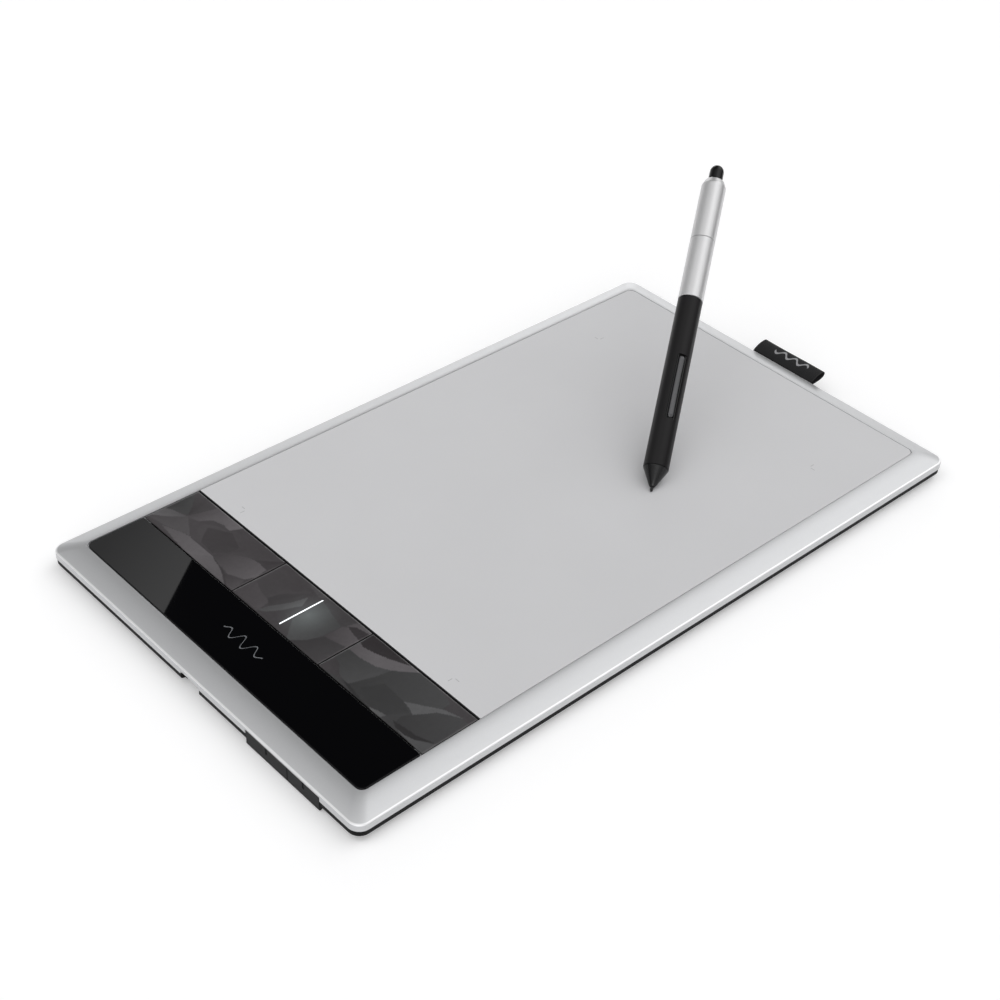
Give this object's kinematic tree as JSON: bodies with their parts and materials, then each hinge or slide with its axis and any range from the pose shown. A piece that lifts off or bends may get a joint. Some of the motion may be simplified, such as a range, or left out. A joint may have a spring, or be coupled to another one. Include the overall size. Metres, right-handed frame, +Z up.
{
  "type": "pen drawing tablet",
  "caption": "Flat silver-framed drawing tablet with a key strip, light bar and ribbon pen loop, and a pressure pen with a side switch and an eraser end.",
  "frame": {"origin": "bottom centre of the bounding box, on the surface the feet stand on", "axes": "+X along the long side from the key strip to the pen loop, +Y away from the user, +Z up out of the drawing surface"},
  "size_m": [0.3614, 0.2054, 0.0981],
  "materials": {
    "silver_paint": "satin metallic paint on moulded plastic",
    "drawing_surface": "fine matte texture, light grey",
    "gloss_black": "high gloss",
    "key_facets": "semi-gloss faceted relief",
    "light_guide": "translucent white, lit",
    "black_shell": "fine spark texture",
    "grey_cover": "fine spark texture",
    "inner_plastic": "moulded",
    "rubber_feet": "matte",
    "circuit_board": "solder mask",
    "film": "polyimide film",
    "bare_steel": "plain",
    "chip_plastic": "moulded",
    "gold_contact": "plated",
    "ribbon": "woven ribbon",
    "pen_soft_touch": "soft-touch coating",
    "pen_gloss_black": "polished",
    "pen_silver": "satin metallic paint",
    "switch_grey": "satin",
    "ferrite": "sintered",
    "copper_wire": "enamelled wire",
    "nib_plastic": "polymer"
  },
  "bodies": {
    "tablet": {"top_bezel": "silver_paint", "drawing_sheet": "drawing_surface", "gloss_panel": "gloss_black", "panel_carrier": "inner_plastic", "light_bar": "light_guide", "key_board": "circuit_board", "status_led": "light_guide", "dome_switch_1": "bare_steel", "dome_switch_2": "bare_steel", "dome_switch_3": "bare_steel", "dome_switch_4": "bare_steel", "touch_sensor_film": "film", "pen_sensor_board": "circuit_board", "shield_plate": "bare_steel", "main_board": "circuit_board", "controller_chip": "chip_plastic", "shield_can": "bare_steel", "flex_connector": "inner_plastic", "sensor_flex_cable": "film", "key_flex_cable": "film", "usb_socket": "bare_steel", "usb_tongue": "inner_plastic", "bottom_shell": "black_shell", "foot_1": "rubber_feet", "foot_2": "rubber_feet", "foot_3": "rubber_feet", "foot_4": "rubber_feet", "case_screw_1": "bare_steel", "case_screw_2": "bare_steel", "case_screw_3": "bare_steel", "case_screw_4": "bare_steel", "case_screw_5": "bare_steel", "case_screw_6": "bare_steel", "battery_contact_1": "gold_contact", "battery_contact_2": "gold_contact", "module_connector": "inner_plastic", "pen_loop": "ribbon", "loop_anchor": "black_shell"},
    "key_upper": {"key_upper": "key_facets"},
    "key_middle": {"key_middle": "key_facets"},
    "key_lower": {"key_lower": "key_facets"},
    "battery_cover": {"battery_cover": "grey_cover"},
    "module_cover": {"module_cover": "grey_cover"},
    "pen": {"pen_nose": "pen_soft_touch", "pen_grip": "pen_soft_touch", "pen_core_tube": "inner_plastic", "pen_switch_frame": "pen_gloss_black", "pen_circuit_board": "circuit_board", "pen_tact_switch_1": "inner_plastic", "pen_tact_switch_2": "inner_plastic", "pen_ferrite": "ferrite", "pen_coil": "copper_wire", "pen_pressure_sensor": "inner_plastic", "pen_barrel": "pen_silver", "pen_rear_cap": "pen_silver", "pen_eraser_sensor": "inner_plastic"},
    "nib": {"nib": "nib_plastic"},
    "eraser": {"pen_eraser": "pen_gloss_black"},
    "side_switch": {"pen_side_switch": "switch_grey"}
  },
  "joints": [
    {"name": "key_upper_press", "type": "hinge", "parent": "tablet", "child": "key_upper", "pos_m": [-0.12607, 0.0915, 0.0119], "axis": [1, 0, 0], "range_deg": [0, 0.5], "stiffness_Nm_per_rad": 8},
    {"name": "key_middle_rock", "type": "hinge", "parent": "tablet", "child": "key_middle", "pos_m": [-0.12607, 0.0007, 0.0119], "axis": [1, 0, 0], "range_deg": [-1, 1], "stiffness_Nm_per_rad": 1.3},
    {"name": "key_lower_press", "type": "hinge", "parent": "tablet", "child": "key_lower", "pos_m": [-0.12607, -0.0903, 0.0119], "axis": [-1, 0, 0], "range_deg": [0, 0.5], "stiffness_Nm_per_rad": 8},
    {"name": "battery_cover_slide", "type": "slide", "parent": "tablet", "child": "battery_cover", "axis": [-1, 0, 0], "range_m": [0, 0.066]},
    {"name": "module_cover_slide", "type": "slide", "parent": "tablet", "child": "module_cover", "axis": [-1, 0, 0], "range_m": [0, 0.042]},
    {"name": "pen_lift", "type": "slide", "parent": "tablet", "child": "pen", "axis": [0.7251, 0.5011, 0.4724], "range_m": [0, 0.08]},
    {"name": "nib_press", "type": "slide", "parent": "pen", "child": "nib", "axis": [0.7251, 0.5011, 0.4724], "range_m": [0, 0.0004], "stiffness_N_per_m": 2500},
    {"name": "eraser_press", "type": "slide", "parent": "pen", "child": "eraser", "axis": [-0.7251, -0.5011, -0.4724], "range_m": [0, 0.0008], "stiffness_N_per_m": 1500},
    {"name": "side_switch_rock", "type": "hinge", "parent": "pen", "child": "side_switch", "pos_m": [0.0796, -0.01106, 0.04074], "axis": [0.6728, -0.6619, -0.3305], "range_deg": [-1.2, 1.2], "stiffness_Nm_per_rad": 0.6}
  ]
}
